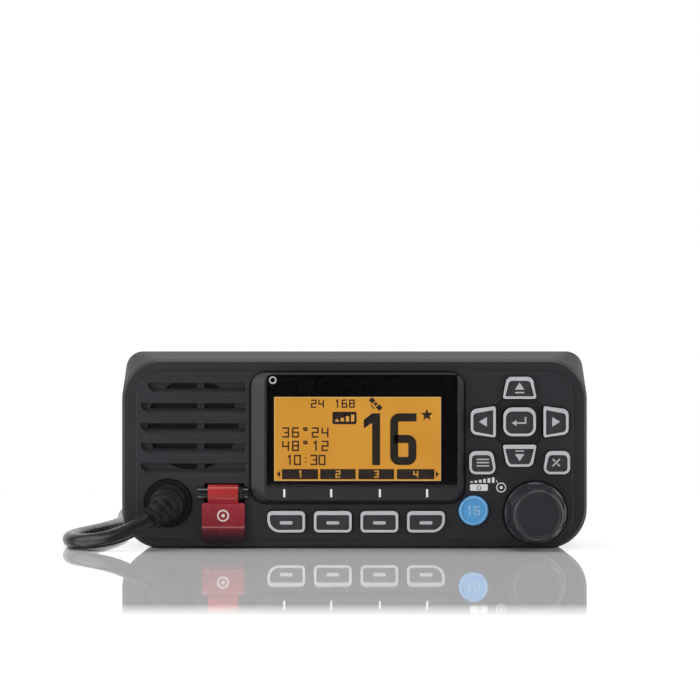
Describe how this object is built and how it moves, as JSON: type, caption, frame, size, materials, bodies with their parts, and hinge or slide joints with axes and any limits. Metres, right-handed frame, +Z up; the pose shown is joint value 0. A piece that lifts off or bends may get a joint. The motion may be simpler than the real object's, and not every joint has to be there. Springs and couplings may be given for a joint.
{
  "type": "marine vhf radio",
  "caption": "Fixed-mount marine VHF radio with an amber display, speaker louvres, keypad, volume knob, flip-covered alert key and a hand microphone on a curly cord.",
  "frame": {"origin": "middle of the underside, on the lower face of the middle cooling rib", "axes": "+X to the right of someone facing the display, +Y to the back, +Z up"},
  "size_m": [0.187, 0.2393, 0.0665],
  "materials": {
    "panel_plastic": "fine textured black moulding",
    "window_glass": "clear acrylic over a black printed border",
    "lcd_amber": "backlit amber display",
    "diffuser_plastic": "white diffuser",
    "holder_plastic": "black moulding",
    "key_rim": "silver painted rim round a dark face",
    "channel_key_blue": "blue",
    "alert_key_red": "red",
    "silicone": "soft silicone",
    "circuit_board": "green solder mask",
    "knob_plastic": "satin black",
    "steel": "stainless",
    "encoder_plastic": "moulded",
    "speaker_mesh": "black acoustic membrane",
    "speaker_steel": "dark plated steel",
    "speaker_paper": "treated cone",
    "cover_red": "translucent dark red",
    "pin_black": "shiny black pin",
    "chassis_metal": "black powder coated die casting",
    "tin_plate": "tinned",
    "amp_ceramic": "black module",
    "connector_nickel": "nickel plated",
    "insulator_white": "white polymer",
    "gland_rubber": "black rubber",
    "gps_plastic": "black",
    "insert_brass": "threaded brass",
    "cord_jacket": "glossy black jacket",
    "mic_plastic": "fine textured black moulding",
    "mic_key_rubber": "dark grey",
    "stud_metal": "stainless",
    "element_metal": "pressed capsule"
  },
  "bodies": {
    "root": {"antenna_connector": "connector_nickel", "antenna_insulator": "insulator_white", "backlight_diffuser": "diffuser_plastic", "board_screws": "steel", "bracket_inserts": "insert_brass", "chassis_screws": "steel", "cord_boot": "gland_rubber", "cord_clamp": "holder_plastic", "cover_hinge_pin": "pin_black", "cover_spring": "steel", "display_window": "window_glass", "encoder_body": "encoder_plastic", "encoder_nut": "steel", "front_board": "circuit_board", "front_panel": "panel_plastic", "gps_connector": "gps_plastic", "heat_sink": "chassis_metal", "keypad_membrane": "silicone", "knob_seal": "silicone", "lcd_holder": "holder_plastic", "lcd_panel": "lcd_amber", "lead_glands": "gland_rubber", "main_board": "circuit_board", "main_seal": "silicone", "mic_boot": "gland_rubber", "mic_cord_curl": "cord_jacket", "mic_cord_lead": "cord_jacket", "mic_cord_tail": "cord_jacket", "mic_element": "element_metal", "mic_front_case": "mic_plastic", "mic_hanger_stud": "stud_metal", "mic_rear_case": "mic_plastic", "mic_screws": "steel", "power_amp_module": "amp_ceramic", "rear_chassis": "chassis_metal", "shield_can": "tin_plate", "speaker_cone": "speaker_paper", "speaker_frame": "speaker_steel", "speaker_magnet": "speaker_steel", "speaker_membrane": "speaker_mesh"},
    "softkey_1": {"softkey_1": "key_rim"},
    "softkey_2": {"softkey_2": "key_rim"},
    "softkey_3": {"softkey_3": "key_rim"},
    "softkey_4": {"softkey_4": "key_rim"},
    "channel_up_key": {"channel_up_key": "key_rim"},
    "channel_down_key": {"channel_down_key": "key_rim"},
    "left_key": {"left_key": "key_rim"},
    "right_key": {"right_key": "key_rim"},
    "enter_key": {"enter_key": "key_rim"},
    "menu_key": {"menu_key": "key_rim"},
    "clear_key": {"clear_key": "key_rim"},
    "channel_16_key": {"channel_16_key": "channel_key_blue"},
    "alert_key": {"alert_key": "alert_key_red"},
    "alert_cover": {"alert_cover": "cover_red"},
    "encoder_collar": {"encoder_collar": "encoder_plastic"},
    "volume_knob": {"volume_knob": "knob_plastic", "encoder_shaft": "steel"},
    "mic_ptt_button": {"mic_ptt_button": "mic_key_rubber"},
    "mic_up_key": {"mic_up_key": "mic_key_rubber"},
    "mic_down_key": {"mic_down_key": "mic_key_rubber"}
  },
  "joints": [
    {"name": "softkey_1_press", "type": "slide", "parent": "root", "child": "softkey_1", "axis": [0, 1, 0], "range_m": [0, 0.001], "stiffness_N_per_m": 1500},
    {"name": "softkey_2_press", "type": "slide", "parent": "root", "child": "softkey_2", "axis": [0, 1, 0], "range_m": [0, 0.001], "stiffness_N_per_m": 1500},
    {"name": "softkey_3_press", "type": "slide", "parent": "root", "child": "softkey_3", "axis": [0, 1, 0], "range_m": [0, 0.001], "stiffness_N_per_m": 1500},
    {"name": "softkey_4_press", "type": "slide", "parent": "root", "child": "softkey_4", "axis": [0, 1, 0], "range_m": [0, 0.001], "stiffness_N_per_m": 1500},
    {"name": "channel_up_key_press", "type": "slide", "parent": "root", "child": "channel_up_key", "axis": [0, 1, 0], "range_m": [0, 0.001], "stiffness_N_per_m": 1500},
    {"name": "channel_down_key_press", "type": "slide", "parent": "root", "child": "channel_down_key", "axis": [0, 1, 0], "range_m": [0, 0.001], "stiffness_N_per_m": 1500},
    {"name": "left_key_press", "type": "slide", "parent": "root", "child": "left_key", "axis": [0, 1, 0], "range_m": [0, 0.001], "stiffness_N_per_m": 1500},
    {"name": "right_key_press", "type": "slide", "parent": "root", "child": "right_key", "axis": [0, 1, 0], "range_m": [0, 0.001], "stiffness_N_per_m": 1500},
    {"name": "enter_key_press", "type": "slide", "parent": "root", "child": "enter_key", "axis": [0, 1, 0], "range_m": [0, 0.001], "stiffness_N_per_m": 1500},
    {"name": "menu_key_press", "type": "slide", "parent": "root", "child": "menu_key", "axis": [0, 1, 0], "range_m": [0, 0.001], "stiffness_N_per_m": 1500},
    {"name": "clear_key_press", "type": "slide", "parent": "root", "child": "clear_key", "axis": [0, 1, 0], "range_m": [0, 0.001], "stiffness_N_per_m": 1500},
    {"name": "channel_16_key_press", "type": "slide", "parent": "root", "child": "channel_16_key", "axis": [0, 1, 0], "range_m": [0, 0.001], "stiffness_N_per_m": 1500},
    {"name": "alert_key_press", "type": "slide", "parent": "root", "child": "alert_key", "axis": [0, 1, 0], "range_m": [0, 0.001], "stiffness_N_per_m": 1500},
    {"name": "alert_cover_hinge", "type": "hinge", "parent": "root", "child": "alert_cover", "pos_m": [-0.044, -0.052, 0.0186], "axis": [-1, 0, 0], "range_deg": [0, 105], "stiffness_Nm_per_rad": 0.003},
    {"name": "knob_push", "type": "slide", "parent": "root", "child": "encoder_collar", "axis": [0, 1, 0], "range_m": [0, 0.0006], "stiffness_N_per_m": 3000},
    {"name": "knob_turn", "type": "hinge", "parent": "encoder_collar", "child": "volume_knob", "pos_m": [0.0607, -0.055, 0.012], "axis": [0, 1, 0], "continuous": true},
    {"name": "mic_ptt_press", "type": "slide", "parent": "root", "child": "mic_ptt_button", "axis": [0, 1, 0], "range_m": [0, 0.0015], "stiffness_N_per_m": 1200},
    {"name": "mic_up_key_press", "type": "slide", "parent": "root", "child": "mic_up_key", "axis": [-0.0949, 0, -0.9955], "range_m": [0, 0.0008], "stiffness_N_per_m": 1500},
    {"name": "mic_down_key_press", "type": "slide", "parent": "root", "child": "mic_down_key", "axis": [-0.0949, 0, -0.9955], "range_m": [0, 0.0008], "stiffness_N_per_m": 1500}
  ]
}
